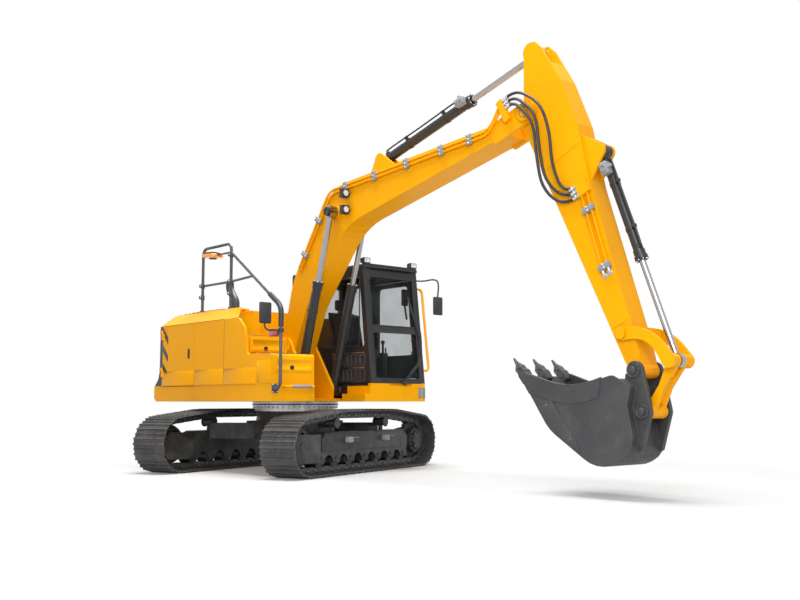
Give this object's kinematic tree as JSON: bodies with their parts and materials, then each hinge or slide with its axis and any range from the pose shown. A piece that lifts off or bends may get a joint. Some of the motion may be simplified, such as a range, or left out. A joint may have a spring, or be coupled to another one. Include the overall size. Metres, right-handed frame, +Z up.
{
  "type": "crawler excavator",
  "caption": "Crawler excavator with a swinging upper structure, enclosed cab, one-piece boom, long arm and digging bucket worked by hydraulic cylinders through a rocker and link.",
  "frame": {"origin": "on the ground under the swing axis", "axes": "+X the way the boom points, +Y to the operator's left, +Z up"},
  "size_m": [8.3325, 4.2757, 4.7125],
  "materials": {
    "yellow_paint": "glossy machine yellow enamel",
    "charcoal_paint": "semi-gloss charcoal enamel",
    "black_paint": "semi-gloss black enamel",
    "worn_steel": "bare steel with light wear",
    "rod_chrome": "ground chrome",
    "engine_alloy": "sealed inner block",
    "pane": "lightly tinted clear pane",
    "black_plastic": "fine grained moulding",
    "amber_lens": "amber lens",
    "seat_cloth": "dark woven cloth",
    "hose_rubber": "matt wrapped rubber"
  },
  "bodies": {
    "undercarriage": {"track_left": "charcoal_paint", "track_right": "charcoal_paint", "track_frame_left": "charcoal_paint", "track_frame_right": "charcoal_paint", "rollers": "worn_steel", "idlers": "charcoal_paint", "final_drives": "charcoal_paint", "car_body": "charcoal_paint", "slew_ring": "worn_steel"},
    "upper": {"deck": "yellow_paint", "counterweight": "yellow_paint", "engine_block": "engine_alloy", "side_panels": "yellow_paint", "top_cover": "yellow_paint", "exhaust": "charcoal_paint", "handrail": "charcoal_paint", "beacon": "amber_lens", "step_boxes": "yellow_paint", "cab_frame": "charcoal_paint", "cab_roof": "charcoal_paint", "cab_glass": "pane", "seat": "seat_cloth", "controls": "black_plastic", "cab_lamps": "black_plastic", "mirrors": "black_plastic", "grab_rail": "yellow_paint"},
    "side_door_right": {"door_right": "yellow_paint"},
    "side_door_left": {"door_left": "yellow_paint"},
    "hood_lid": {"hood": "yellow_paint"},
    "tool_lid": {"toolbox_lid": "yellow_paint"},
    "tank_entry": {"tank_door": "yellow_paint"},
    "cab_entry": {"cab_door": "charcoal_paint", "door_glass": "pane"},
    "boom_body": {"boom": "yellow_paint", "boom_pipes": "yellow_paint", "boom_lamps": "black_plastic", "hose_upper": "hose_rubber", "hose_middle": "hose_rubber", "hose_lower": "hose_rubber"},
    "boom_cylinders": {"boom_barrels": "black_paint"},
    "boom_cylinder_rods": {"boom_rods": "rod_chrome"},
    "arm_body": {"arm": "yellow_paint", "arm_pipes": "yellow_paint"},
    "arm_cylinder": {"arm_barrel": "black_paint"},
    "arm_cylinder_rod": {"arm_rod": "rod_chrome"},
    "bucket_cylinder": {"bucket_barrel": "black_paint"},
    "bucket_cylinder_rod": {"bucket_rod": "rod_chrome"},
    "rocker_body": {"rocker": "yellow_paint"},
    "bucket_body": {"bucket": "charcoal_paint", "bucket_teeth": "worn_steel"},
    "link_body": {"link": "yellow_paint"}
  },
  "joints": [
    {"name": "swing", "type": "hinge", "parent": "undercarriage", "child": "upper", "pos_m": [0, 0, 0.918], "axis": [0, 0, 1], "continuous": true},
    {"name": "boom_lift", "type": "hinge", "parent": "upper", "child": "boom_body", "pos_m": [0.19, -0.09, 1.61], "axis": [0, -1, 0], "range_deg": [-74, 20]},
    {"name": "arm_crowd", "type": "hinge", "parent": "boom_body", "child": "arm_body", "pos_m": [4.48597, -0.09, 3.95224], "axis": [0, 1, 0], "range_deg": [-69, 48], "deforming": ["hose_upper", "hose_middle", "hose_lower"]},
    {"name": "bucket_curl", "type": "hinge", "parent": "arm_body", "child": "bucket_body", "pos_m": [5.78599, -0.09, 1.20202], "axis": [0, 1, 0], "range_deg": [-130, 40]},
    {"name": "boom_cylinder_tilt", "type": "hinge", "parent": "upper", "child": "boom_cylinders", "pos_m": [0.6, -0.09, 1.07], "axis": [0, -1, 0], "range_deg": [-69.9, 18.89]},
    {"name": "boom_rod_stroke", "type": "slide", "parent": "boom_cylinders", "child": "boom_cylinder_rods", "axis": [0.283, 0, 0.9591], "range_m": [-0.81, 0.219]},
    {"name": "arm_cylinder_tilt", "type": "hinge", "parent": "boom_body", "child": "arm_cylinder", "pos_m": [2.00232, -0.09, 3.9159], "axis": [0, 1, 0], "range_deg": [-2.52, 1.75]},
    {"name": "arm_rod_stroke", "type": "slide", "parent": "arm_cylinder", "child": "arm_cylinder_rod", "axis": [0.9639, 0, 0.2661], "range_m": [-0.7061, 0.4912]},
    {"name": "bucket_cylinder_tilt", "type": "hinge", "parent": "arm_body", "child": "bucket_cylinder", "pos_m": [5.36143, -0.09, 3.38717], "axis": [0, 1, 0], "range_deg": [-7.1, 2.19]},
    {"name": "bucket_rod_stroke", "type": "slide", "parent": "bucket_cylinder", "child": "bucket_cylinder_rod", "axis": [0.3488, 0, -0.9372], "range_m": [-0.713, 0.2195]},
    {"name": "rocker_swing", "type": "hinge", "parent": "arm_body", "child": "rocker_body", "pos_m": [5.63593, -0.09, 1.55693], "axis": [0, 1, 0], "range_deg": [-80.5, 24.77]},
    {"name": "link_swing", "type": "hinge", "parent": "bucket_body", "child": "link_body", "pos_m": [5.87399, -0.09, 0.82102], "axis": [0, 1, 0], "range_deg": [-24.8, 80.6]},
    {"name": "cab_door_hinge", "type": "hinge", "parent": "upper", "child": "cab_entry", "pos_m": [0.27, 1.26, 1.4], "axis": [0, 0, 1], "range_deg": [0, 100]},
    {"name": "side_door_right_hinge", "type": "hinge", "parent": "upper", "child": "side_door_right", "pos_m": [-1.484, -1.258, 1.3], "axis": [0, 0, -1], "range_deg": [0, 100]},
    {"name": "side_door_left_hinge", "type": "hinge", "parent": "upper", "child": "side_door_left", "pos_m": [-1.484, 1.258, 1.3], "axis": [0, 0, 1], "range_deg": [0, 100]},
    {"name": "hood_hinge", "type": "hinge", "parent": "upper", "child": "hood_lid", "pos_m": [-0.574, 0, 2.208], "axis": [0, 1, 0], "range_deg": [0, 60]},
    {"name": "tool_lid_hinge", "type": "hinge", "parent": "upper", "child": "tool_lid", "pos_m": [0.676, -0.9, 1.516], "axis": [0, -1, 0], "range_deg": [0, 70]},
    {"name": "tank_door_hinge", "type": "hinge", "parent": "upper", "child": "tank_entry", "pos_m": [0.6483, -0.578, 1.6], "axis": [0, 0, 1], "range_deg": [0, 100]}
  ],
  "couplings": [
    {"joint": "boom_cylinder_tilt", "follows": "boom_lift", "ratio": 0.94462},
    {"joint": "boom_rod_stroke", "follows": "boom_lift", "m_per_rad": 0.62708},
    {"joint": "arm_cylinder_tilt", "follows": "arm_crowd", "ratio": 0.03646},
    {"joint": "arm_rod_stroke", "follows": "arm_crowd", "m_per_rad": 0.58622},
    {"joint": "bucket_cylinder_tilt", "follows": "bucket_curl", "ratio": 0.05461},
    {"joint": "bucket_rod_stroke", "follows": "bucket_curl", "m_per_rad": 0.31421},
    {"joint": "rocker_swing", "follows": "bucket_curl", "ratio": 0.6192},
    {"joint": "link_swing", "follows": "bucket_curl", "ratio": -0.62}
  ]
}
